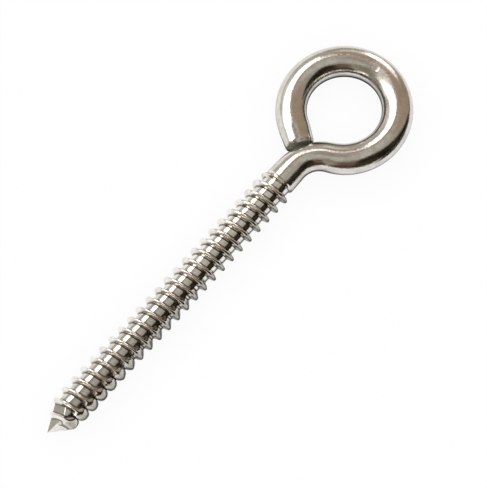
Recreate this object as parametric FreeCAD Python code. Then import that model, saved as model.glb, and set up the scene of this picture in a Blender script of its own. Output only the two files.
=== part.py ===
"""A screw eye for hanging a hammock: one steel rod, bent into a closed eye and rolled with a wood-screw thread.

Millimetres. The origin is the centre of the eye. The shank runs along +X to its point, and the
part lies as it comes to rest, on its thread's crests and on one side of the eye, with +Z up.
"""

import FreeCAD
import Part
import math
import os

# The rod and the eye
rod_diameter = 9.5
eye_inner_diameter = 22.5
eye_offset = 0.5  # of the eye's centre, sideways from the shank's axis and away from the neck's bend
neck_bend_radius = 11.5  # at the rod's centre line, where the shank turns off into the eye
eye_end_angle = 327.0  # degrees round the eye, where the curve ends and the straight end starts

# The sheared end of the rod
end_gap = 0.4  # between the cut end and the outside of the neck's bend
end_diameter = 8.8
end_taper_length = 5.0
end_edge_radius = 0.35

# The shank
eye_centre_to_tip = 132.0
thread_length = 102.0  # from the tip to the shoulder at the plain neck

# The thread, right-handed
thread_major_diameter = 11.6
thread_root_diameter = 8.1
thread_pitch = 4.0
thread_crest_width = 0.5
thread_flank_angle = 28.0  # degrees from square to the axis
upper_crest_to_tip = 6.0  # from the tip back to where the ridge's middle passes over the top
thread_fade_length = 2.2  # over which the last turn sinks into the shoulder
shoulder_length = 0.8  # of the cone from the thread's root up to the plain neck

# The four-sided point
point_edge_angle = 34.0  # degrees from the axis to each edge of the point
point_turn = 0.0  # degrees that the point's edges are turned about the shank

overlap = 0.5  # how deep one primitive runs into the next before they are fused

rod_radius = rod_diameter / 2
eye_radius = eye_inner_diameter / 2 + rod_radius  # of the rod's centre line
crest_radius = thread_major_diameter / 2
root_radius = thread_root_diameter / 2
shoulder_x = eye_centre_to_tip - thread_length

# The thread is made along +Z from a ridge that starts at 0 on the side that later faces down, so
# that its middle passes the side that later faces up at each half pitch.
thread_turns = math.ceil(thread_length / thread_pitch) + 4
tip_z = (thread_turns - 2.5) * thread_pitch + upper_crest_to_tip
shoulder_z = tip_z - thread_length

X = FreeCAD.Vector(1, 0, 0)
Y = FreeCAD.Vector(0, 1, 0)
Z = FreeCAD.Vector(0, 0, 1)
origin = FreeCAD.Vector(0, 0, 0)


def on_circle(centre, radius, degrees):
    """The point at that angle of a circle in the plane of the eye."""
    a = math.radians(degrees)
    return centre + FreeCAD.Vector(radius * math.cos(a), radius * math.sin(a), 0)


def on_shank(x):
    """The point at that distance along the shank's axis."""
    return FreeCAD.Vector(x, eye_offset, 0)


def rod_section(centre, direction):
    """A round face of the rod, square to the direction in which it runs."""
    return Part.Face(Part.Wire(Part.makeCircle(rod_radius, centre, direction)))


def bent_rod(centre, radius, from_angle, to_angle):
    """A stretch of the rod bent round a centre in the plane of the eye, from one angle to the other."""
    start = on_circle(centre, radius, from_angle)
    along = on_circle(origin, 1, from_angle + 90)
    turn = Z if to_angle > from_angle else -Z
    return rod_section(start, along).revolve(centre, turn, abs(to_angle - from_angle))


def sheared_end(start, run, length):
    """The rod's straight end, which narrows a little to its cut face, with the cut's edge rounded."""
    taper_start = start + run * (length - end_taper_length)
    face_centre = start + run * length
    straight = rod_section(start, run).extrude(taper_start - start)
    taper = Part.makeCone(rod_radius, end_diameter / 2, end_taper_length, taper_start, run)
    rim = [
        edge for edge in taper.Edges
        if edge.Curve.TypeId == "Part::GeomCircle" and edge.Curve.Center.distanceToPoint(face_centre) < 1e-6
    ]
    return straight.fuse(taper.makeFillet(end_edge_radius, rim))


def eye_and_neck():
    """The plain neck, the bend off the shank's axis, the eye, and its straight cut end."""
    # The neck's bend touches both the shank's axis and the eye's circle, so its centre lies at the
    # bend's radius beside the axis, and at both radii added up from the eye's centre.
    span = neck_bend_radius + eye_radius
    bend_y = eye_offset + neck_bend_radius
    bend_x = math.sqrt(span**2 - bend_y**2)
    bend_centre = FreeCAD.Vector(bend_x, bend_y, 0)
    eye_start_angle = math.degrees(math.asin(bend_y / span))

    neck = rod_section(on_shank(shoulder_x), X).extrude(X * (bend_x - shoulder_x))
    bend = bent_rod(bend_centre, neck_bend_radius, 270, 180 + eye_start_angle)
    eye = bent_rod(origin, eye_radius, eye_start_angle, eye_end_angle)

    # The straight end runs on until its flat face is the gap short of the bend's outside.
    curve_end = on_circle(origin, eye_radius, eye_end_angle)
    run = on_circle(origin, 1, eye_end_angle + 90)
    end_length = (bend_centre - curve_end).dot(run) - neck_bend_radius - rod_radius - end_gap
    return neck.fuse([bend, eye, sheared_end(curve_end, run, end_length)])


def thread_core():
    """The thread's root cylinder, a pitch longer than the ridge at both ends, its seam clear of the point's edges."""
    core = Part.makeCylinder(root_radius, (thread_turns + 2) * thread_pitch, -Z * thread_pitch, Z)
    core.rotate(origin, Z, point_turn + 25)
    return core


def thread_ridge():
    """The helical ridge, rooted inside the core and running past both ends of the thread."""
    slope = math.tan(math.radians(thread_flank_angle))
    inner = root_radius - overlap
    half_crest = thread_crest_width / 2
    half_inner = half_crest + (crest_radius - inner) * slope
    profile = Part.makePolygon([
        FreeCAD.Vector(inner, 0, -half_inner),
        FreeCAD.Vector(crest_radius, 0, -half_crest),
        FreeCAD.Vector(crest_radius, 0, half_crest),
        FreeCAD.Vector(inner, 0, half_inner),
        FreeCAD.Vector(inner, 0, -half_inner),
    ])
    helix = Part.makeHelix(thread_pitch, thread_turns * thread_pitch, root_radius)
    return Part.Wire(helix).makePipeShell([profile], True, True)


def run_out_cutter():
    """A collar with a conical bore, which lets the ridge's last turn sink into the core at the shoulder."""
    steepness = (crest_radius - root_radius) / thread_fade_length
    wide, narrow = crest_radius + overlap, root_radius - overlap / 2
    narrow_z = shoulder_z - (root_radius - narrow) / steepness
    bore = Part.makeCone(narrow, wide, (wide - narrow) / steepness, Z * narrow_z, Z)
    start = -2 * thread_pitch
    length = narrow_z + (wide - narrow) / steepness - start - overlap / 10
    return Part.makeCylinder(wide + overlap, length, Z * start, Z).cut(bore)


def point_cutter():
    """A block with a four-sided pyramid left out of it, whose tip is the screw's tip."""
    width = 4 * crest_radius
    depth = width / math.tan(math.radians(point_edge_angle))
    tip = Z * tip_z
    corners = [
        tip + FreeCAD.Vector(width * math.cos(math.radians(a)), width * math.sin(math.radians(a)), -depth)
        for a in (point_turn, point_turn + 90, point_turn + 180, point_turn + 270)
    ]
    sides = [Part.Face(Part.makePolygon([corners[i - 1], corners[i], tip, corners[i - 1]])) for i in range(4)]
    base = Part.Face(Part.makePolygon(corners + corners[:1]))
    pyramid = Part.makeSolid(Part.makeShell(sides + [base]))
    block_start = FreeCAD.Vector(-width / 2, -width / 2, tip_z - depth * 0.7)
    block_length = depth * 0.7 + 6 * thread_pitch
    return Part.makeBox(width, width, block_length, block_start).cut(pyramid)


def threaded_shank():
    """The rolled thread with its run-out and its point, made along +Z and then laid along +X."""
    shank = thread_core().fuse(thread_ridge())
    shank = shank.cut(run_out_cutter())
    shank = shank.cut(point_cutter())
    shank.translate(-Z * tip_z)
    shank.rotate(origin, Y, 90)
    shank.translate(on_shank(eye_centre_to_tip))
    return shank


def shoulder():
    """The short cone from the plain neck down to the thread's root."""
    return Part.makeCone(rod_radius, root_radius, shoulder_length, on_shank(shoulder_x), X)


def screw_eye():
    """The whole part, rolled about its shank until the eye touches what the thread rests on."""
    part = eye_and_neck().fuse(shoulder()).fuse(threaded_shank())
    part = part.removeSplitter().Solids[0]
    rest_roll = math.degrees(math.asin((crest_radius - rod_radius) / (eye_radius + eye_offset)))
    part.rotate(origin, X, rest_roll)
    return part


os.makedirs("parts", exist_ok=True)
screw_eye().exportStep("parts/screw_eye.step")
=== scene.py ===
"""A screw eye for hanging a hammock, in bright steel, laid on a white table.

One steel rod is bent into a closed eye, left plain at the neck and rolled with a wood-screw thread
up to a four-sided point. Everything is in metres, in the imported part's own frame: the origin is the
eye's centre, the shank runs along +X, and the table is at the part's lowest point.
"""

import logging
import math
from dataclasses import astuple, dataclass, field
from enum import Enum
from typing import Callable

import bmesh
import bpy
from mathutils import Matrix, Vector, noise


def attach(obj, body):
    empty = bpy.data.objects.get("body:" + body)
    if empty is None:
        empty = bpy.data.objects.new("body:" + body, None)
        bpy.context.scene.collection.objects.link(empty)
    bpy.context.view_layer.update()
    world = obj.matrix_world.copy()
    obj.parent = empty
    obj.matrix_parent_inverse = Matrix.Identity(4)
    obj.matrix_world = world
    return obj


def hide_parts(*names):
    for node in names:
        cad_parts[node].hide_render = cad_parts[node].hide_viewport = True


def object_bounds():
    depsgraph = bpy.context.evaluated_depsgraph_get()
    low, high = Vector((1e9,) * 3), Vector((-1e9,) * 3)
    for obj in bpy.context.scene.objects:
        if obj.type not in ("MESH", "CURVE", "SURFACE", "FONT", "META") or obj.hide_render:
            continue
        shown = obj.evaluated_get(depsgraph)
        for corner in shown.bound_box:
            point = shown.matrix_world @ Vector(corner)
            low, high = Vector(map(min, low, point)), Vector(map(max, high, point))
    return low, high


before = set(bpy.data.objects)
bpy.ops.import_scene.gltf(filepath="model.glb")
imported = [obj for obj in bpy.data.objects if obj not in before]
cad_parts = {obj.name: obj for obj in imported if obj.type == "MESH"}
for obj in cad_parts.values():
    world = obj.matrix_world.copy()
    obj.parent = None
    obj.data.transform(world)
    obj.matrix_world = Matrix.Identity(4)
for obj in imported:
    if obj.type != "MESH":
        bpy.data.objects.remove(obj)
cad_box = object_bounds()

Piece = bpy.types.Object
Tree = bpy.types.NodeTree
Value = bpy.types.NodeSocket
Range = tuple[float, float]
Colour = tuple[float, float, float, float]

MM = 0.001
CUT_THRESHOLD = 0.0001 * MM
WINDING_WELD = 0.01 * MM
JOINT_WELD = 0.002 * MM
SMOOTH_ANGLE = math.radians(32)
FACING = 0.98  # the least cosine between a face's normal and the direction that it is said to face
LINE_DETAIL = 3.0  # of the noise that the drawn lines come from
BALL_CORE = 0.3  # the share of a ball mask's radius in which it is whole
WHITE = (1, 1, 1, 1)
STRAIGHTENED = "straightened"
# The vertex attribute of painted shade on the thread: its creases, its root and its shaded +Y side.
PAINTED_SHADE = "painted_shade"
log = logging.getLogger("screw_eye")


class Stretch(Enum):
    """The stretches of the rod, from the point to the sheared end."""

    SHANK = 1
    BEND = 2
    EYE = 3
    TAIL = 4


def select_only(*pieces: Piece) -> None:
    """Selects some pieces and nothing else, and makes the first one active."""
    bpy.ops.object.select_all(action="DESELECT")
    for piece in pieces:
        piece.select_set(True)
    bpy.context.view_layer.objects.active = pieces[0]


def edit(piece: Piece) -> None:
    """Makes a piece the only selected one and enters edit mode on it."""
    select_only(piece)
    bpy.ops.object.mode_set(mode="EDIT")


def leave_edit() -> None:
    """Goes back to object mode."""
    bpy.ops.object.mode_set(mode="OBJECT")


def pick_faces(piece: Piece, test: Callable[[Vector, Vector], bool]) -> None:
    """Selects the faces that pass a test, and nothing else.

    Args:
        piece: The mesh object, in edit mode.
        test: Takes a face's centre and its normal, and says whether it is picked.
    """
    bpy.ops.mesh.select_mode(type="FACE")
    bpy.ops.mesh.select_all(action="DESELECT")
    mesh = bmesh.from_edit_mesh(piece.data)
    for face in mesh.faces:
        if test(face.calc_center_median(), face.normal):
            face.select_set(True)
    mesh.select_flush_mode()
    bmesh.update_edit_mesh(piece.data)


def extrude_by(step: Vector) -> None:
    """Extrudes what is selected by one step."""
    bpy.ops.mesh.extrude_region_move(TRANSFORM_OT_translate={"value": step})


def apply_place(piece: Piece) -> None:
    """Puts a piece's place, turn and scale into its mesh."""
    select_only(piece)
    bpy.ops.object.transform_apply(location=True, rotation=True, scale=True)


def radius_of(vertex: bpy.types.MeshVertex) -> float:
    """A vertex's distance from the world's X axis."""
    return math.hypot(vertex.co.y, vertex.co.z)


def move_to_radius(vertex: bpy.types.MeshVertex, radius: float) -> None:
    """Moves a vertex squarely to or from the world's X axis, until it is that far from it."""
    scale = radius / radius_of(vertex)
    vertex.co.y *= scale
    vertex.co.z *= scale


def angle_of(arm: Vector) -> float:
    """The angle of an arm round the upright axis, from 0 up to a full turn."""
    return math.atan2(arm.y, arm.x) % math.tau


def on_circle(centre: Vector, radius: float, angle: float) -> Vector:
    """The point at an angle of a circle in the plane of the eye."""
    return centre + Vector((radius * math.cos(angle), radius * math.sin(angle), 0))


@dataclass
class BentRod:
    """The plain neck, the bend off the shank's axis, the eye and its sheared end.

    The eye's centre is the origin. The shank's axis lies beside it, and the neck's bend touches both
    that axis and the circle of the eye. The shank's reach, in rod radii, and the angle's slack keep
    every point of the surface in the stretch of the rod that it belongs to.
    """

    rod_radius: float = 4.725 * MM
    eye_radius: float = 16.0 * MM
    axis_y: float = 0.5 * MM
    bend_radius: float = 11.5 * MM
    start_x: float = 29.4 * MM
    eye_end_angle: float = math.radians(327)
    end_gap: float = 0.4 * MM
    end_radius: float = 4.4 * MM
    end_taper: float = 5.0 * MM
    end_edge: float = 0.35 * MM
    end_edge_steps: int = 4
    end_inset: float = 0.8 * MM
    bend_thinning: float = 0.38 * MM
    thinning_reach: float = 7.0 * MM
    thinning_limit: float = 3.0
    angle_slack: float = 0.02
    shank_reach: float = 1.5
    around: int = 72
    neck_steps: int = 6
    bend_steps: int = 24
    eye_steps: int = 168
    taper_steps: int = 10
    bend_centre: Vector = field(init=False)
    eye_start_angle: float = field(init=False)
    end_length: float = field(init=False)

    def __post_init__(self) -> None:
        """Works out where the bend's centre lies and how long the straight end is."""
        span = self.bend_radius + self.eye_radius
        bend_y = self.axis_y + self.bend_radius
        self.bend_centre = Vector((math.sqrt(span**2 - bend_y**2), bend_y, 0))
        self.eye_start_angle = math.asin(bend_y / span)
        reach = (self.bend_centre - self.curve_end()).dot(self.run())
        self.end_length = reach - self.bend_radius - self.rod_radius - self.end_gap

    def curve_end(self) -> Vector:
        """The rod's centre where the eye's curve ends."""
        return on_circle(Vector(), self.eye_radius, self.eye_end_angle)

    def run(self) -> Vector:
        """The direction of the rod's straight end."""
        return on_circle(Vector(), 1, self.eye_end_angle + math.pi / 2)

    def bend_turn(self) -> float:
        """How far the neck's bend turns the rod, in radians."""
        return math.pi / 2 - self.eye_start_angle

    def eye_turn(self) -> float:
        """How far round the eye the rod's curve goes, in radians."""
        return self.eye_end_angle - self.eye_start_angle

    def stretch_at(self, place: Vector) -> Stretch:
        """Which stretch of the rod a point of its surface belongs to."""
        flat = Vector((place.x, place.y, 0))
        from_bend = flat - self.bend_centre
        beside_axis = abs(place.y - self.axis_y) < self.shank_reach * self.rod_radius
        if place.x >= self.bend_centre.x and beside_axis:
            return Stretch.SHANK
        inside_bend = from_bend.length < self.bend_radius + self.rod_radius + self.end_gap / 2
        if inside_bend and angle_of(from_bend) >= math.pi + self.eye_start_angle:
            return Stretch.BEND
        if self.eye_start_angle - self.angle_slack <= angle_of(flat) <= self.eye_end_angle:
            return Stretch.EYE
        return Stretch.TAIL

    def locate(self, place: Vector) -> tuple[float, Vector, Vector]:
        """Where a surface point lies along the rod.

        Args:
            place: The point, before the part is rolled onto its rest.

        Returns:
            The distance along the rod's centre line from the bend's start towards the eye, the centre
            line's point there, and the sideways direction there in the plane of the eye.
        """
        stretch = self.stretch_at(place)
        flat = Vector((place.x, place.y, 0))
        if stretch is Stretch.SHANK:
            return self.bend_centre.x - place.x, Vector((place.x, self.axis_y, 0)), Vector((0, -1, 0))
        if stretch is Stretch.BEND:
            arm = flat - self.bend_centre
            out = arm.normalized()
            along = self.bend_radius * (1.5 * math.pi - angle_of(arm))
            return along, self.bend_centre + out * self.bend_radius, out
        bend_length = self.bend_radius * self.bend_turn()
        if stretch is Stretch.EYE:
            out = flat.normalized()
            along = bend_length + self.eye_radius * (angle_of(flat) - self.eye_start_angle)
            return along, out * self.eye_radius, -out
        run = self.run()
        beyond = (flat - self.curve_end()).dot(run)
        along = bend_length + self.eye_radius * self.eye_turn() + beyond
        return along, self.curve_end() + run * beyond, Vector((-run.y, run.x, 0))

    def build(self) -> Piece:
        """Draws the rod out from the shoulder, round the bend and the eye, to its cut end."""
        bpy.ops.mesh.primitive_circle_add(
            vertices=self.around,
            radius=self.rod_radius,
            location=(self.start_x, self.axis_y, 0),
            rotation=(0, math.pi / 2, 0),
        )
        rod = bpy.context.object
        apply_place(rod)
        edit(rod)
        bpy.ops.mesh.select_mode(type="EDGE")
        bpy.ops.mesh.select_all(action="SELECT")
        for _ in range(self.neck_steps):
            extrude_by(Vector(((self.bend_centre.x - self.start_x) / self.neck_steps, 0, 0)))
        self.spin(self.bend_steps, self.bend_centre, -self.bend_turn())
        self.spin(self.eye_steps, Vector(), self.eye_turn())
        self.draw_out_end()
        leave_edit()
        return rod

    @staticmethod
    def spin(steps: int, centre: Vector, turn: float) -> None:
        """Spins the selected section about an upright axis; a positive turn is anticlockwise from above."""
        bpy.ops.mesh.spin(steps=steps, angle=-turn, center=centre, axis=(0, 0, 1))

    def draw_out_end(self) -> None:
        """Extrudes the straight end, narrows it, closes it with the cut face and rounds the cut's edge."""
        run = self.run()
        extrude_by(run * (self.end_length - self.end_taper))
        centre = self.curve_end() + run * (self.end_length - self.end_taper)
        radius = self.rod_radius
        for step in range(1, self.taper_steps + 1):
            extrude_by(run * (self.end_taper / self.taper_steps))
            centre += run * (self.end_taper / self.taper_steps)
            target = self.rod_radius + (self.end_radius - self.rod_radius) * (step / self.taper_steps)
            bpy.ops.transform.resize(value=(target / radius,) * 3, center_override=centre)
            radius = target
        bpy.ops.mesh.edge_face_add()
        bpy.ops.mesh.bevel(offset=self.end_edge, segments=self.end_edge_steps, affect="EDGES")
        bpy.ops.mesh.inset(thickness=self.end_inset, depth=0)

    def thin_the_bend(self, piece: Piece) -> None:
        """Draws the rod a little thinner where the bend stretched it.

        Args:
            piece: The joined mesh, before it is rolled onto its rest.
        """
        middle = self.bend_radius * self.bend_turn() / 2
        for vertex in piece.data.vertices:
            along, centre, _ = self.locate(vertex.co)
            away = abs(along - middle) / self.thinning_reach
            if away > self.thinning_limit or vertex.co.x > self.start_x:
                continue
            thinned = 1 - math.exp(-(away**2)) * self.bend_thinning / self.rod_radius
            vertex.co = centre + (vertex.co - centre) * thinned


def eased(value: float, low: float, high: float) -> float:
    """How far a value has come from low to high, from 0 to 1, eased at both ends."""
    share = min(max((value - low) / (high - low), 0.0), 1.0)
    return share * share * (3 - 2 * share)


@dataclass(frozen=True)
class RidgeShape:
    """The thread's ridge in section.

    Its feet and its crest's edges are measured from its middle. The roundness is how far its straight
    flanks turn into an ellipse. The crest falls by the drop to its edges, and the root is raised by the
    lift, both as shares of the ridge's height.
    """

    foot_to_point: float
    foot_to_eye: float
    crest_half: float
    roundness: float
    crest_drop: float
    lift: float = 0.0

    def height(self, offset: float) -> float:
        """The ridge's height as a share of the full one.

        Args:
            offset: The distance from the ridge's middle, positive towards the point.

        Returns:
            1 on the crest and 0 at the root.
        """
        foot = self.foot_to_point if offset > 0 else self.foot_to_eye
        share = min(abs(offset) / foot, 1.0)
        flat = self.crest_half / foot
        crest = 1 - self.crest_drop * min(share / flat, 1) ** 2
        straight = crest * (1 - max(share - flat, 0) / (1 - flat))
        rounded = math.sqrt(1 - share * share)
        return self.lift + (1 - self.lift) * (straight + (rounded - straight) * self.roundness)

    def foot_nearness(self, offset: float, width: float) -> float:
        """How near an offset is to either foot of the ridge: 1 at a foot, and 0 well beyond the width."""
        away = min(abs(offset - self.foot_to_point), abs(offset + self.foot_to_eye))
        return math.exp(-((away / width) ** 2))

    def towards(self, other: "RidgeShape", share: float) -> "RidgeShape":
        """A shape between this one and another."""
        pairs = zip(astuple(self), astuple(other))
        return RidgeShape(*(mine + (theirs - mine) * share for mine, theirs in pairs))


@dataclass(frozen=True)
class PointEdge:
    """One edge of the pinched point: how many winding steps it is turned from the top, and its slope."""

    step: int
    slope: float


@dataclass
class ThreadedShank:
    """The rolled wood-screw thread, its run-out at the shoulder and its four-sided point.

    The thread is wound by the step. A place is turned so many steps from the top towards +Y, and that
    is also how the point's edges and the stretches of the ridge's swelling are given.
    """

    axis_y: float
    neck_radius: float
    crest_radius: float = 5.79 * MM
    root_radius: float = 4.05 * MM
    pitch: float = 4.0 * MM
    tip_x: float = 132.0 * MM
    shoulder_x: float = 30.0 * MM
    shoulder_length: float = 0.8 * MM
    fade_length: float = 2.2 * MM
    upper_crest_x: float = 26.6 * MM
    waviness: float = 0.07 * MM
    wave_length: float = 3.2 * MM
    wave_limit: float = 0.5
    ripple_length: float = 1.1 * MM
    ripple_share: float = 0.6
    turns: int = 28
    steps: int = 88
    outline_steps: int = 32
    sharp: RidgeShape = RidgeShape(
        foot_to_point=1.05 * MM, foot_to_eye=1.05 * MM, crest_half=0.45 * MM, roundness=0.05, crest_drop=0.12
    )
    thin: RidgeShape = RidgeShape(
        foot_to_point=0.85 * MM, foot_to_eye=0.85 * MM, crest_half=0.34 * MM, roundness=0.0, crest_drop=0.15
    )
    leaning: RidgeShape = RidgeShape(
        foot_to_point=1.2 * MM, foot_to_eye=2.2 * MM, crest_half=0.5 * MM, roundness=0.15, crest_drop=0.12
    )
    full: RidgeShape = RidgeShape(
        foot_to_point=1.75 * MM, foot_to_eye=2.2 * MM, crest_half=0.45 * MM, roundness=0.95, crest_drop=0.2,
        lift=0.05,
    )
    lean_from: Range = (60 * MM, 80 * MM)
    thin_from: Range = (55 * MM, 85 * MM)
    thin_turned: Range = (-18, -8)
    full_from: Range = (90 * MM, 112 * MM)
    full_to: Range = (122 * MM, 132 * MM)
    swollen_from: Range = (7, 14)
    swollen_to: Range = (34, 44)
    # Painted shade: dark at the ridge's feet, in the root towards the point and on the swollen ridge's +Y
    # side, where shade falls.
    painted_shade_width: float = 0.2 * MM
    ridge_painted_shade: float = 0.6
    root_painted_shade: float = 0.42
    root_painted_shade_from: Range = (50 * MM, 85 * MM)
    drift: float = 0.3 * MM
    drift_length: float = 60.0 * MM
    tip_flat: float = 0.12 * MM
    least_radius: float = 0.02 * MM
    ridge_start: float = 3.6 * MM
    ridge_full: float = 12.0 * MM
    point_edges: tuple[PointEdge, ...] = (
        PointEdge(5, 0.66), PointEdge(27, 0.80), PointEdge(49, 0.60), PointEdge(71, 0.53),
    )

    def swollen_share(self, turned: float) -> float:
        """How much of the swelling a place gets, which is all of it on the +Y side and none on the top."""
        return eased(turned, *self.swollen_from) - eased(turned, *self.swollen_to)

    def shape_at(self, x: float, turned: float) -> RidgeShape:
        """The ridge's shape, which towards the point gets thinner on the top and swells on the +Y side.

        Args:
            x: The place along the shank.
            turned: The place's turn from the top towards +Y, in winding steps.

        Returns:
            The shape at that place.
        """
        swollen = self.sharp.towards(self.leaning, eased(x, *self.lean_from))
        swollen = swollen.towards(self.full, eased(x, *self.full_from) - eased(x, *self.full_to))
        upper = self.sharp.towards(self.thin, eased(x, *self.thin_from) * eased(turned, *self.thin_turned))
        return upper.towards(swollen, self.swollen_share(turned))

    def around(self, offset: float) -> tuple[float, float, float]:
        """A place's offsets from the ridge's nearest turns."""
        return offset - self.pitch, offset, offset + self.pitch

    def place_on_ridge(self, place: Vector) -> tuple[float, float]:
        """Where a point lies on the winding.

        Args:
            place: The point, with the shank's axis on the world's X axis.

        Returns:
            The offset from the ridge's middle, positive towards the point, and how far the place is
            turned from the top towards +Y, in winding steps.
        """
        turned = math.atan2(place.y, place.z) / math.tau
        offset = (place.x - self.upper_crest_x + self.pitch * (turned + 0.5)) % self.pitch - self.pitch / 2
        return offset, turned * self.steps

    def painted_shade_at(self, place: Vector) -> float:
        """How much painted shade there is at a point.

        Args:
            place: The point, before the part is rolled onto its rest.

        Returns:
            The grime, from 0 to 1: 1 at the ridge's feet, less in the root and on the swollen ridge.
        """
        if not self.shoulder_x + self.fade_length < place.x < self.tip_x - self.ridge_start:
            return 0.0
        offset, turned = self.place_on_ridge(place - Vector((0, self.axis_y, 0)))
        shape = self.shape_at(place.x, turned)
        # Painted shade in the creases at the ridge's feet, in the root and on the swollen ridge's shaded +Y
        # side.
        feet = max(shape.foot_nearness(near, self.painted_shade_width) for near in self.around(offset))
        ridge = max(shape.height(near) for near in self.around(offset))
        root = self.root_painted_shade * (1 - ridge) * eased(place.x, *self.root_painted_shade_from)
        return max(feet, root, self.ridge_painted_shade * ridge * self.swollen_share(turned))

    def point_slope(self, turned: float) -> float:
        """How fast the point's flat sides spread from the tip.

        Args:
            turned: The place's turn from the top towards +Y, in winding steps.

        Returns:
            The radius there for each unit of distance from the tip.
        """
        per_step = math.tau / self.steps
        for edge, beyond in zip(self.point_edges, self.point_edges[1:] + self.point_edges[:1]):
            width = (beyond.step - edge.step) % self.steps
            past = (turned - edge.step) % self.steps
            if past <= width:
                across = edge.slope * math.sin(past * per_step)
                across += beyond.slope * math.sin((width - past) * per_step)
                return edge.slope * beyond.slope * math.sin(width * per_step) / across
        return self.point_edges[0].slope

    def radius_at(self, x: float, offset: float, turned: float) -> tuple[float, float]:
        """The thread's radius at a place.

        Args:
            x: The place along the shank.
            offset: The distance from the ridge's middle, positive towards the point.
            turned: The place's turn from the top towards +Y, in winding steps.

        Returns:
            The radius, and the ridge's share of its full height there.
        """
        to_tip = self.tip_x - x
        core = min(self.root_radius, max(to_tip, 0) * self.point_slope(turned))
        grown = math.sqrt(min(max((to_tip - self.ridge_start) / (self.ridge_full - self.ridge_start), 0), 1))
        shape = self.shape_at(x, turned)
        ridge = max(shape.height(place) for place in self.around(offset)) * grown
        return core + (self.crest_radius - self.root_radius) * ridge, ridge

    def outline(self) -> list[Vector]:
        """One pitch of the thread, from the middle of one root to the middle of the next, above the axis."""
        points = []
        for step in range(self.outline_steps + 1):
            offset = self.pitch * (step / self.outline_steps - 0.5)
            radius, _ = self.radius_at(self.upper_crest_x, offset, 0)
            points.append(Vector((self.upper_crest_x + offset, 0, radius)))
        return points

    def build(self) -> Piece:
        """Draws one pitch, winds it along the shank, shapes it, then cuts the shoulder and the tip."""
        bpy.ops.mesh.primitive_plane_add(size=MM, location=(0, 0, 0))
        shank = bpy.context.object
        edit(shank)
        bpy.ops.mesh.select_mode(type="VERT")
        bpy.ops.mesh.select_all(action="SELECT")
        bpy.ops.mesh.merge(type="CENTER")
        line = self.outline()
        bpy.ops.transform.translate(value=line[0])
        for here, beyond in zip(line, line[1:]):
            bpy.ops.mesh.extrude_vertices_move(TRANSFORM_OT_translate={"value": beyond - here})
        leave_edit()
        winding = shank.modifiers.new("winding", "SCREW")
        winding.axis = "X"
        winding.screw_offset = self.pitch
        winding.iterations = self.turns
        winding.steps = self.steps
        winding.render_steps = self.steps
        bpy.ops.object.modifier_apply(modifier=winding.name)
        edit(shank)
        bpy.ops.mesh.select_mode(type="VERT")
        bpy.ops.mesh.select_all(action="SELECT")
        bpy.ops.mesh.remove_doubles(threshold=WINDING_WELD)
        leave_edit()
        self.roll_ridge(shank)
        edit(shank)
        self.cut_rings()
        leave_edit()
        self.run_out(shank)
        edit(shank)
        self.cut(Vector((self.tip_x - self.tip_flat, 0, 0)), Vector((1, 0, 0)), fill=True)
        self.cut(Vector((self.shoulder_x, 0, 0)), Vector((-1, 0, 0)), fill=False)
        leave_edit()
        shank.location = (0, self.axis_y, 0)
        apply_place(shank)
        return shank

    @staticmethod
    def cut(place: Vector, normal: Vector, fill: bool) -> None:
        """Cuts through everything with a plane and takes off what lies on the side its normal points to.

        Args:
            place: A point of the plane.
            normal: The plane's normal.
            fill: Whether the cut is closed with a face.
        """
        bpy.ops.mesh.select_all(action="SELECT")
        bpy.ops.mesh.bisect(
            plane_co=place, plane_no=normal, use_fill=fill, clear_outer=True, threshold=CUT_THRESHOLD
        )

    def cut_rings(self) -> None:
        """Adds rings of edges where the shoulder's cone starts and ends."""
        for x in (self.shoulder_x, self.shoulder_x + self.shoulder_length):
            bpy.ops.mesh.select_all(action="SELECT")
            bpy.ops.mesh.bisect(plane_co=(x, 0, 0), plane_no=(1, 0, 0), threshold=CUT_THRESHOLD)

    def roll_ridge(self, shank: Piece) -> None:
        """Gives the ridge its changing shape, and makes its crest slightly uneven.

        Args:
            shank: The wound thread, about the world's X axis.
        """
        for vertex in shank.data.vertices:
            offset, turned = self.place_on_ridge(vertex.co)
            target, ridge = self.radius_at(vertex.co.x, offset, turned)
            wave = noise.noise(vertex.co / self.wave_length)
            wave += self.ripple_share * noise.noise(vertex.co / self.ripple_length)
            target += self.waviness * min(wave - self.wave_limit, 0) * ridge
            move_to_radius(vertex, max(target, self.least_radius))

    def set_off_axis(self, piece: Piece) -> None:
        """Lets the shank run slightly off the neck's line, once the joined mesh is at rest."""
        for vertex in piece.data.vertices:
            past = eased(vertex.co.x, self.shoulder_x, self.shoulder_x + self.drift_length)
            vertex.co.y += self.drift * past

    def run_out(self, shank: Piece) -> None:
        """Sinks the wound thread's last turn into the shoulder's cone."""
        height = self.crest_radius - self.root_radius
        for vertex in shank.data.vertices:
            beyond = vertex.co.x - self.shoulder_x
            if beyond > self.fade_length:
                continue
            faded = self.root_radius + height * max(beyond, 0) / self.fade_length
            share = min(max(beyond, 0) / self.shoulder_length, 1)
            cone = self.neck_radius + (self.root_radius - self.neck_radius) * share
            move_to_radius(vertex, max(min(radius_of(vertex), faded), cone))


class Socket(Enum):
    """The kinds of socket that a node group has."""

    NUMBER = "NodeSocketFloat"
    VECTOR = "NodeSocketVector"


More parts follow.
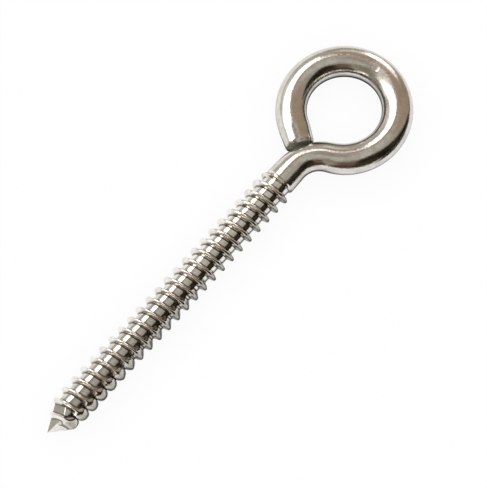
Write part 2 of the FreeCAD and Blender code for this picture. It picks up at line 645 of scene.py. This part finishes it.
@dataclass
class Wiring:
    """A material's, a world's or a group's node tree, being wired up."""

    tree: Tree

    def node(self, kind: str, **settings: object) -> bpy.types.Node:
        """Adds a node of a kind, and sets on it what is given by name."""
        made = self.tree.nodes.new(kind)
        for name, value in settings.items():
            setattr(made, name, value)
        return made

    def join(self, source: Value, target: Value) -> None:
        """Links one socket to another."""
        self.tree.links.new(source, target)

    def feed(self, target: Value, value: object) -> None:
        """Links a socket to a target, or sets the target to a plain value."""
        if isinstance(value, Value):
            self.join(value, target)
        else:
            target.default_value = value

    def maths(self, operation: str, first: object, second: object) -> Value:
        """Adds a Math node for two sockets or numbers, and gives its result."""
        made = self.node("ShaderNodeMath", operation=operation)
        self.feed(made.inputs[0], first)
        self.feed(made.inputs[1], second)
        return made.outputs[0]

    def plus(self, first: object, second: object) -> Value:
        """The sum of two sockets or numbers."""
        return self.maths("ADD", first, second)

    def less(self, first: object, second: object) -> Value:
        """The first socket or number, less the second."""
        return self.maths("SUBTRACT", first, second)

    def times(self, first: object, second: object) -> Value:
        """The product of two sockets or numbers."""
        return self.maths("MULTIPLY", first, second)

    def larger(self, first: object, second: object) -> Value:
        """The larger of two sockets or numbers."""
        return self.maths("MAXIMUM", first, second)

    def blend(self, share: object, first: object, second: object) -> Value:
        """Mixes two sockets or colours, with that share of the second one, and gives the result."""
        made = self.node("ShaderNodeMix", data_type="RGBA")
        self.feed(made.inputs["Factor"], share)
        self.feed(made.inputs["A"], first)
        self.feed(made.inputs["B"], second)
        return made.outputs["Result"]

    def ramp(self, value: object, low: float, high: float, to_low: float = 0.0, to_high: float = 1.0,
             smooth: bool = True) -> Value:
        """Maps a value from one range onto another, and holds it at the ends.

        Args:
            value: The socket that is mapped.
            low: Where the range starts.
            high: Where the range ends.
            to_low: What the start becomes.
            to_high: What the end becomes.
            smooth: Whether the ends are eased.

        Returns:
            The result's socket.
        """
        made = self.node("ShaderNodeMapRange", interpolation_type="SMOOTHSTEP" if smooth else "LINEAR")
        for name, number in (("From Min", low), ("From Max", high), ("To Min", to_low), ("To Max", to_high)):
            made.inputs[name].default_value = number
        self.feed(made.inputs["Value"], value)
        return made.outputs["Result"]

    def group(self, tree: Tree, **values: object) -> bpy.types.Node:
        """Places a node group, and gives its inputs their sockets or values by name."""
        made = self.node("ShaderNodeGroup", node_tree=tree)
        for name, value in values.items():
            self.feed(made.inputs[name], value)
        return made


def new_group(name: str, result: str, **inputs: Socket) -> tuple[Wiring, bpy.types.Node, bpy.types.Node]:
    """Starts a node group.

    Args:
        name: The group's name.
        result: The name of its one output, a number.
        inputs: Its inputs, by name.

    Returns:
        The wiring of the group, and the nodes of its inputs and its output.
    """
    tree = bpy.data.node_groups.new(name, "ShaderNodeTree")
    for label, kind in inputs.items():
        tree.interface.new_socket(name=label, in_out="INPUT", socket_type=kind.value)
    tree.interface.new_socket(name=result, in_out="OUTPUT", socket_type=Socket.NUMBER.value)
    wiring = Wiring(tree)
    return wiring, wiring.node("NodeGroupInput"), wiring.node("NodeGroupOutput")


def new_material(name: str) -> tuple[bpy.types.Material, Wiring, bpy.types.Node]:
    """Starts a material, and gives it with its wiring and its Principled node."""
    material = bpy.data.materials.new(name)
    material.use_nodes = True
    return material, Wiring(material.node_tree), material.node_tree.nodes["Principled BSDF"]


def drawn_lines() -> Tree:
    """Fine lines along the rod, as drawing and rolling leave them."""
    w, given, out = new_group(
        "drawn_lines", "Height", Place=Socket.VECTOR, Length=Socket.NUMBER, Width=Socket.NUMBER
    )
    parts = w.node("ShaderNodeSeparateXYZ")
    w.join(given.outputs["Place"], parts.inputs[0])
    squeezed = w.node("ShaderNodeCombineXYZ")
    for axis, size in (("X", "Length"), ("Y", "Width"), ("Z", "Width")):
        w.join(w.maths("DIVIDE", parts.outputs[axis], given.outputs[size]), squeezed.inputs[axis])
    grain = w.node("ShaderNodeTexNoise", noise_dimensions="3D")
    grain.inputs["Scale"].default_value = 1
    grain.inputs["Detail"].default_value = LINE_DETAIL
    w.join(squeezed.outputs[0], grain.inputs["Vector"])
    w.join(grain.outputs["Fac"], out.inputs["Height"])
    return w.tree


def cloudiness() -> Tree:
    """Soft mottling of one grain size."""
    w, given, out = new_group(
        "cloudiness", "Value", Place=Socket.VECTOR, Grain=Socket.NUMBER, Detail=Socket.NUMBER
    )
    cloud = w.node("ShaderNodeTexNoise", noise_dimensions="3D")
    w.join(given.outputs["Place"], cloud.inputs["Vector"])
    w.join(w.maths("DIVIDE", 1.0, given.outputs["Grain"]), cloud.inputs["Scale"])
    w.join(given.outputs["Detail"], cloud.inputs["Detail"])
    w.join(cloud.outputs["Fac"], out.inputs["Value"])
    return w.tree


def ball_mask() -> Tree:
    """A soft ball about one place of the part."""
    w, given, out = new_group(
        "ball_mask", "Mask", Place=Socket.VECTOR, Centre=Socket.VECTOR, Radius=Socket.NUMBER
    )
    away = w.node("ShaderNodeVectorMath", operation="DISTANCE")
    w.join(given.outputs["Place"], away.inputs[0])
    w.join(given.outputs["Centre"], away.inputs[1])
    share = w.maths("DIVIDE", away.outputs["Value"], given.outputs["Radius"])
    w.join(w.ramp(share, BALL_CORE, 1.0, 1.0, 0.0), out.inputs["Mask"])
    return w.tree


@dataclass
class SteelEffects:
    """The node groups that the steel's finishes share."""

    lines: Tree = field(default_factory=drawn_lines)
    cloud: Tree = field(default_factory=cloudiness)
    ball: Tree = field(default_factory=ball_mask)


@dataclass(frozen=True)
class SteelFinish:
    """One finish of the steel: its colours and marks, how smooth it is, and its fine relief.

    Each range says between which values of a noise or a mask its mark comes in, and each share how
    strong the mark is at most.
    """

    name: str
    colour: Colour = (0.78, 0.76, 0.72, 1)
    metal: float = 1.0
    stain: Colour = (0.50, 0.44, 0.37, 1)
    stain_range: Range = (0.42, 0.68)
    stain_share: float = 0.35
    speck_range: Range = (0.54, 0.68)
    speck_share: float = 0.75
    # Painted shade: the dark colour that the thread's creases, root and shaded +Y side are painted towards.
    painted_shade: Colour = (0.15, 0.12, 0.085, 1)
    painted_shade_range: Range = (0.15, 0.9)
    painted_shade_share: float = 0.9
    smooth: float = 0.08
    dull: float = 0.19
    dull_range: Range = (0.2, 0.8)
    dull_from_stain: float = 0.4
    dull_from_lines: float = 0.6
    line_length: float = 6.0 * MM
    line_width: float = 0.22 * MM
    line_depth: float = 0.0012 * MM
    grain: float = 0.34 * MM
    grain_detail: float = 2.0
    grain_depth: float = 0.024 * MM
    swell: float = 3.0 * MM
    swell_detail: float = 1.0
    swell_depth: float = 0.02 * MM
    worn_centre: tuple[float, float, float] = (-15.2 * MM, 1.5 * MM, 4.6 * MM)
    worn_radius: float = 7.5 * MM
    worn_dullness: float = 0.16
    worn_specks: float = 0.06
    worn_share: float = 0.45
    nick_centre: tuple[float, float, float] = (-15.0 * MM, -0.5 * MM, 4.65 * MM)
    nick_radius: float = 1.0 * MM
    nick_depth: float = 0.12 * MM

    def build(self, effects: SteelEffects) -> bpy.types.Material:
        """Makes the material.

        Args:
            effects: The node groups that the finishes share.

        Returns:
            The finish's material.
        """
        material, w, shader = new_material(self.name)
        shader.inputs["Metallic"].default_value = self.metal
        straight = w.node("ShaderNodeAttribute", attribute_name=STRAIGHTENED).outputs["Vector"]
        place = w.node("ShaderNodeTexCoord").outputs["Object"]
        lines = w.group(effects.lines, Place=straight, Length=self.line_length, Width=self.line_width)
        lines = lines.outputs["Height"]
        grain, swell = (
            w.group(effects.cloud, Place=place, Grain=size, Detail=detail).outputs["Value"]
            for size, detail in ((self.grain, self.grain_detail), (self.swell, self.swell_detail))
        )
        worn, nick = (
            w.group(effects.ball, Place=place, Centre=centre, Radius=radius).outputs["Mask"]
            for centre, radius in ((self.worn_centre, self.worn_radius), (self.nick_centre, self.nick_radius))
        )
        stain = w.ramp(swell, *self.stain_range)
        w.join(self.tint(w, stain, grain, worn), shader.inputs["Base Color"])
        rough = w.plus(w.times(stain, self.dull_from_stain), w.times(lines, self.dull_from_lines))
        rough = w.ramp(rough, *self.dull_range, self.smooth, self.dull, smooth=False)
        w.join(w.plus(rough, w.times(worn, self.worn_dullness)), shader.inputs["Roughness"])
        height = w.times(lines, self.line_depth / MM)
        height = w.plus(height, w.times(grain, self.grain_depth / MM))
        height = w.plus(height, w.times(swell, self.swell_depth / MM))
        height = w.less(height, w.times(nick, self.nick_depth / MM))
        bump = w.node("ShaderNodeBump")
        bump.inputs["Strength"].default_value = 1
        bump.inputs["Distance"].default_value = MM
        w.join(height, bump.inputs["Height"])
        w.join(bump.outputs["Normal"], shader.inputs["Normal"])
        return material

    def tint(self, w: Wiring, stain: Value, grain: Value, worn: Value) -> Value:
        """Colours the steel with its stains, specks and wear, and then darkens it with painted shade.

        Args:
            w: The material's wiring.
            stain: The mask of the stains.
            grain: The fine mottling that the specks come from.
            worn: The mask of the worn patch.

        Returns:
            The colour's socket.
        """
        speck = w.ramp(w.plus(grain, w.times(worn, self.worn_specks)), *self.speck_range)
        marks = w.larger(w.times(stain, self.stain_share), w.times(speck, self.speck_share))
        marks = w.larger(marks, w.times(worn, self.worn_share))
        clean = w.blend(marks, self.colour, self.stain)
        # Painted shade, from the vertex attribute: darkens the creases, the root and the shaded +Y side.
        painted_shade = w.node("ShaderNodeAttribute", attribute_name=PAINTED_SHADE).outputs["Fac"]
        return w.blend(w.ramp(painted_shade, *self.painted_shade_range, 0.0, self.painted_shade_share), clean, self.painted_shade)


@dataclass
class ScrewEye:
    """The whole piece: rod and shank joined, rolled onto its rest and dressed."""

    rod: BentRod
    shank: ThreadedShank
    drawn: SteelFinish = SteelFinish("bright_drawn_steel")
    rolled: SteelFinish = SteelFinish(
        "rolled_thread_steel", colour=(0.92, 0.90, 0.86, 1), smooth=0.07, dull=0.16, line_length=0.3 * MM,
        line_width=4 * MM, line_depth=0.004 * MM, grain_depth=0.010 * MM, swell_depth=0.012 * MM,
    )
    sheared: SteelFinish = SteelFinish(
        "sheared_steel", colour=(0.60, 0.61, 0.54, 1), metal=0.1, stain=(0.34, 0.34, 0.28, 1), smooth=0.35,
        dull=0.5,
    )
    pinched: SteelFinish = SteelFinish("pinched_steel", colour=(0.40, 0.39, 0.33, 1), smooth=0.25, dull=0.4)

    def rest_roll(self) -> float:
        """How far the part is rolled about its shank until the eye touches the table."""
        drop = self.shank.crest_radius - self.rod.rod_radius
        return math.asin(drop / (self.rod.eye_radius + self.rod.axis_y))

    def build(self) -> None:
        """Joins the shank to the rod, shapes the whole, and gives it its finish."""
        piece = self.rod.build()
        shank = self.shank.build()
        select_only(piece, shank)
        bpy.ops.object.join()
        piece.name = piece.data.name = "screw_eye_steel"
        edit(piece)
        bpy.ops.mesh.select_mode(type="EDGE")
        bpy.ops.mesh.select_all(action="DESELECT")
        bpy.ops.mesh.select_non_manifold(
            extend=False, use_wire=False, use_boundary=True, use_multi_face=False, use_non_contiguous=False,
            use_verts=False,
        )
        bpy.ops.mesh.bridge_edge_loops()
        bpy.ops.mesh.select_all(action="SELECT")
        bpy.ops.mesh.remove_doubles(threshold=JOINT_WELD)
        bpy.ops.mesh.normals_make_consistent(inside=False)
        leave_edit()
        self.rod.thin_the_bend(piece)
        self.keep_patterns(piece)
        piece.rotation_euler = (self.rest_roll(), 0, 0)
        apply_place(piece)
        self.shank.set_off_axis(piece)
        bpy.ops.object.shade_smooth_by_angle(angle=SMOOTH_ANGLE)
        self.dress(piece)
        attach(piece, "root")
        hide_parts("screw_eye")
        self.report(piece)

    def dress(self, piece: Piece) -> None:
        """Gives the drawn rod, the rolled thread and the sheared faces each their finish.

        Args:
            piece: The finished mesh, at rest.
        """
        effects = SteelEffects()
        piece.data.materials.clear()
        for finish in (self.drawn, self.rolled, self.sheared, self.pinched):
            piece.data.materials.append(finish.build(effects))
        run = self.rod.run()
        end = self.rod.curve_end() + run * self.rod.end_length
        turn = Matrix.Rotation(self.rest_roll(), 3, "X")
        end, run = turn @ end, turn @ run
        thread_start = self.shank.shoulder_x
        point_start = self.shank.tip_x - self.shank.ridge_start
        edit(piece)
        places = (
            lambda centre, normal: centre.x > thread_start,
            lambda centre, normal: (centre - end).length < self.rod.rod_radius and normal.dot(run) > FACING,
            lambda centre, normal: centre.x > point_start and normal.y < 0,
        )
        for index, test in enumerate(places, start=1):
            pick_faces(piece, test)
            piece.active_material_index = index
            bpy.ops.object.material_slot_assign()
        leave_edit()

    def keep_patterns(self, piece: Piece) -> None:
        """Keeps each vertex's place on the straightened rod and its painted shade, for the materials.

        Args:
            piece: The joined mesh, before it is rolled onto its rest.
        """
        layers = piece.data.attributes
        layers.new(STRAIGHTENED, "FLOAT_VECTOR", "POINT")
        layers.new(PAINTED_SHADE, "FLOAT", "POINT")
        rows = zip(piece.data.vertices, layers[STRAIGHTENED].data, layers[PAINTED_SHADE].data)
        for vertex, place, painted_shade in rows:
            along, centre, sideways = self.rod.locate(vertex.co)
            place.vector = (along, (vertex.co - centre).dot(sideways), vertex.co.z)
            # Painted shade at this vertex.
            painted_shade.value = self.shank.painted_shade_at(vertex.co)

    @staticmethod
    def report(piece: Piece) -> None:
        """Logs a piece's triangles and whether its surface is closed."""
        mesh = bmesh.new()
        mesh.from_mesh(piece.data)
        loose = sum(1 for e in mesh.edges if len(e.link_faces) != 2)
        triangles = sum(len(f.verts) - 2 for f in mesh.faces)
        log.info("%s: %d triangles, %d open edges, volume %.1f mm3",
                 piece.name, triangles, loose, mesh.calc_volume(signed=True) / MM**3)
        mesh.free()


@dataclass
class PhotoCamera:
    """The camera, where the photograph was taken from. Its lens and its sensor are in millimetres."""

    place: Vector = field(default_factory=lambda: Vector((208.082, 132.939, 643.701)) * MM)
    right: Vector = field(default_factory=lambda: Vector((-0.66176, 0.74963, 0.01199)))
    down: Vector = field(default_factory=lambda: Vector((0.71305, 0.63425, -0.29883)))
    lens: float = 168.54
    sensor_width: float = 36.0
    nearest: float = 10 * MM

    def build(self) -> None:
        """Adds the camera and makes it the scene's."""
        data = bpy.data.cameras.new("photo_camera")
        data.lens = self.lens
        data.sensor_width = self.sensor_width
        data.clip_start = self.nearest
        camera = bpy.data.objects.new("photo_camera", data)
        bpy.context.scene.collection.objects.link(camera)
        right = self.right.normalized()
        up = -(self.down - right * self.down.dot(right)).normalized()
        turn = Matrix((right, up, right.cross(up))).transposed().to_4x4()
        camera.matrix_world = Matrix.Translation(self.place) @ turn
        bpy.context.scene.camera = camera


def towards(azimuth: float, zenith: float) -> Vector:
    """The direction at an azimuth, anticlockwise from +X, and an angle from straight up, in degrees."""
    a, z = math.radians(azimuth), math.radians(zenith)
    return Vector((math.sin(z) * math.cos(a), math.sin(z) * math.sin(a), math.cos(z)))


@dataclass(frozen=True)
class RoomPatch:
    """A soft-edged round patch of the room round the table: where it is, how wide, and its colour."""

    azimuth: float
    zenith: float
    inner: float
    outer: float
    colour: tuple[float, float, float]


@dataclass(frozen=True)
class SoftBox:
    """A rectangular soft lamp, which faces the part, between the middles of its two ends."""

    name: str
    start: Range
    end: Range
    width: float
    brightness: float
    distance: float = 1.0


@dataclass(frozen=True)
class Card:
    """A cloth that lies on the table beside the part, and shows only in the steel."""

    name: str
    low: Range
    high: Range
    colour: Colour


@dataclass
class Studio:
    """The white table, the soft lamps and the room that the steel reflects."""

    table_z: float
    table_size: float = 8.0
    # The painted contact shadow on the table: its reach, where it comes in, its darkest level and how much of
    # it the camera sees.
    contact_reach: float = 12.0 * MM
    contact_range: Range = (0.58, 0.79)
    contact_least: float = 0.02
    contact_shade: float = 0.06
    shank_from: Range = (22 * MM, 40 * MM)
    shank_crowding: float = 0.15
    lit_from: Range = (12 * MM, -2 * MM)
    paper_seen: float = 0.99
    paper_lift: float = 0.8
    paper: Colour = (0.95, 0.945, 0.93, 1)
    shaded_paper: Colour = (0.05, 0.05, 0.04, 1)
    card_lift: float = 0.1 * MM
    room_colour: tuple[float, float, float] = (0.33, 0.30, 0.25)
    patches: tuple[RoomPatch, ...] = (
        RoomPatch(178, 45, 26, 46, (0.39, 0.29, 0.225)),
        RoomPatch(165, 76, 8, 22, (0.34, 0.29, 0.20)),
        RoomPatch(262, 80, 20, 40, (0.50, 0.47, 0.43)),
        RoomPatch(275, 66, 8, 20, (0.78, 0.75, 0.71)),
        RoomPatch(308, 80, 8, 18, (0.74, 0.72, 0.68)),
        RoomPatch(215, 66, 6, 16, (0.72, 0.67, 0.60)),
        RoomPatch(350, 55, 12, 26, (0.25, 0.23, 0.18)),
        RoomPatch(83, 61, 23, 33, (0.025, 0.019, 0.012)),
        RoomPatch(105, 84, 26, 34, (0.012, 0.010, 0.004)),
        RoomPatch(128, 90, 14, 22, (0.010, 0.008, 0.004)),
        RoomPatch(112, 68, 6, 16, (0.035, 0.028, 0.018)),
        RoomPatch(66, 82, 18, 26, (0.045, 0.036, 0.02)),
        RoomPatch(40, 54, 7, 17, (0.17, 0.105, 0.075)),
        RoomPatch(36, 80, 12, 20, (0.08, 0.055, 0.038)),
        RoomPatch(60, 4, 20, 31, (0.53, 0.51, 0.47)),
        RoomPatch(118, 34, 6, 15, (0.42, 0.40, 0.36)),
        RoomPatch(10, 20, 8, 20, (0.52, 0.50, 0.44)),
        RoomPatch(282, 15, 7, 17, (0.34, 0.31, 0.27)),
    )
    lamps: tuple[SoftBox, ...] = (
        SoftBox("long_softbox", (235, 44), (317, 67), 30, 2.8),
        SoftBox("window", (197, 88), (197, 60), 20, 2.4),
        SoftBox("small_softbox", (353, 88), (9, 88), 15, 2.6),
    )
    cards: tuple[Card, ...] = (
        Card("black_cloth", (-0.7, 0.05), (0.015, 0.8), (0.015, 0.012, 0.006, 1)),
        Card("black_strip", (0.045, 0.1), (0.16, 0.8), (0.015, 0.012, 0.006, 1)),
        Card("olive_cloth", (-0.7, -0.1), (-0.055, 0.06), (0.42, 0.37, 0.28, 1)),
    )

    def build(self) -> None:
        """Sets the table, the lamps and the room."""
        self.table()
        self.room()
        for lamp in self.lamps:
            self.lamp(lamp)
        for card in self.cards:
            self.card(card)

    def table(self) -> None:
        """Lays the white table."""
        bpy.ops.mesh.primitive_plane_add(size=self.table_size, location=(0, 0, self.table_z))
        table = bpy.context.object
        table.name = table.data.name = "table"
        apply_place(table)
        table.data.materials.append(self.table_material())

    def table_material(self) -> bpy.types.Material:
        """Makes the table's paper.

        It glows white to the camera, with a faint painted contact shadow close to the part. The steel sees it
        nearly white, but with a dark painted contact shadow close to the part, apart from the shank's lit
        side. The light falls on it as on plain paper.

        Returns:
            The material.
        """
        material, w, shader = new_material("white_paper")
        w.tree.nodes.remove(shader)
        near = w.node("ShaderNodeAmbientOcclusion")
        near.inputs["Distance"].default_value = self.contact_reach
        path = w.node("ShaderNodeLightPath")
        seen, mirrored = path.outputs["Is Camera Ray"], path.outputs["Is Glossy Ray"]
        place = w.node("ShaderNodeSeparateXYZ")
        w.join(w.node("ShaderNodeNewGeometry").outputs["Position"], place.inputs[0])
        beside_shank = w.ramp(place.outputs["X"], *self.shank_from)
        lit_side = w.times(beside_shank, w.ramp(place.outputs["Y"], *self.lit_from))
        # Painted contact shadow: the paper darkens where the ambient occlusion finds the part close by, more
        # so beside the shank.
        open_sky = w.less(near.outputs["AO"], w.times(beside_shank, self.shank_crowding))
        contact = w.ramp(open_sky, *self.contact_range, self.contact_least, 1.0, smooth=False)
        contact = w.larger(w.larger(contact, lit_side), w.less(1.0, mirrored))
        paper = w.node("ShaderNodeBsdfDiffuse")
        w.join(w.blend(contact, self.shaded_paper, self.paper), paper.inputs["Color"])
        glow = w.node("ShaderNodeEmission")
        glow.inputs["Color"].default_value = WHITE
        # Painted contact shadow for the camera: the glow dims a little close to the part.
        shade = w.times(w.times(seen, w.less(1.0, near.outputs["AO"])), self.contact_shade)
        w.join(w.less(contact, shade), glow.inputs["Strength"])
        lift = w.ramp(lit_side, 0, 1, self.paper_lift, 1.0, smooth=False)
        mix = w.node("ShaderNodeMixShader")
        w.join(w.plus(w.times(seen, self.paper_seen), w.times(mirrored, lift)), mix.inputs["Fac"])
        w.join(paper.outputs[0], mix.inputs[1])
        w.join(glow.outputs[0], mix.inputs[2])
        w.join(mix.outputs[0], w.tree.nodes["Material Output"].inputs["Surface"])
        return material

    def room(self) -> None:
        """Sets the world: white to the camera, and the room's soft patches to all else."""
        world = bpy.data.worlds.new("room")
        bpy.context.scene.world = world
        world.use_nodes = True
        w = Wiring(world.node_tree)
        direction = w.node("ShaderNodeTexCoord").outputs["Generated"]
        colour: object = (*self.room_colour, 1)
        for patch in self.patches:
            nearness = w.node("ShaderNodeVectorMath", operation="DOT_PRODUCT")
            w.join(direction, nearness.inputs[0])
            nearness.inputs[1].default_value = towards(patch.azimuth, patch.zenith)
            outer, inner = (math.cos(math.radians(angle)) for angle in (patch.outer, patch.inner))
            share = w.ramp(nearness.outputs["Value"], outer, inner)
            colour = w.blend(share, colour, (*patch.colour, 1))
        seen = w.node("ShaderNodeLightPath").outputs["Is Camera Ray"]
        w.join(w.blend(seen, colour, WHITE), w.tree.nodes["Background"].inputs["Color"])

    def card(self, card: Card) -> None:
        """Lays a cloth just above the table, which neither the camera nor the table's light sees.

        Args:
            card: Where it lies and its colour.
        """
        (x0, y0), (x1, y1) = card.low, card.high
        middle = ((x0 + x1) / 2, (y0 + y1) / 2, self.table_z + self.card_lift)
        bpy.ops.mesh.primitive_plane_add(size=1, location=middle)
        cloth = bpy.context.object
        cloth.name = cloth.data.name = card.name
        cloth.scale = (x1 - x0, y1 - y0, 1)
        apply_place(cloth)
        material, _, shader = new_material(card.name)
        shader.inputs["Base Color"].default_value = card.colour
        shader.inputs["Roughness"].default_value = 1
        cloth.data.materials.append(material)
        cloth.visible_camera = cloth.visible_diffuse = cloth.visible_shadow = False

    @staticmethod
    def lamp(box: SoftBox) -> None:
        """Adds a soft lamp.

        Args:
            box: Where it is, its size and how bright it looks.
        """
        start, end = towards(*box.start), towards(*box.end)
        middle = (start + end).normalized()
        half_turn = start.angle(end) / 2
        length = 2 * box.distance * math.tan(half_turn)
        width = 2 * box.distance * math.tan(math.radians(box.width) / 2)
        data = bpy.data.lights.new(box.name, "AREA")
        data.shape = "RECTANGLE"
        data.size, data.size_y = length, width
        data.energy = box.brightness * math.pi * length * width
        lamp = bpy.data.objects.new(box.name, data)
        bpy.context.scene.collection.objects.link(lamp)
        along = (end - start).normalized()
        turn = Matrix((along, middle.cross(along), middle)).transposed().to_4x4()
        lamp.matrix_world = Matrix.Translation(middle * box.distance) @ turn
        lamp.visible_camera = False


def main() -> None:
    """Builds the piece, the studio and the camera."""
    logging.basicConfig(level=logging.INFO, format="%(name)s: %(message)s")
    bpy.context.scene.view_settings.view_transform = "Standard"
    rod = BentRod()
    ScrewEye(rod, ThreadedShank(rod.axis_y, rod.rod_radius)).build()
    PhotoCamera().build()
    Studio(table_z=cad_box[0].z).build()


if __name__ == "__main__":
    main()
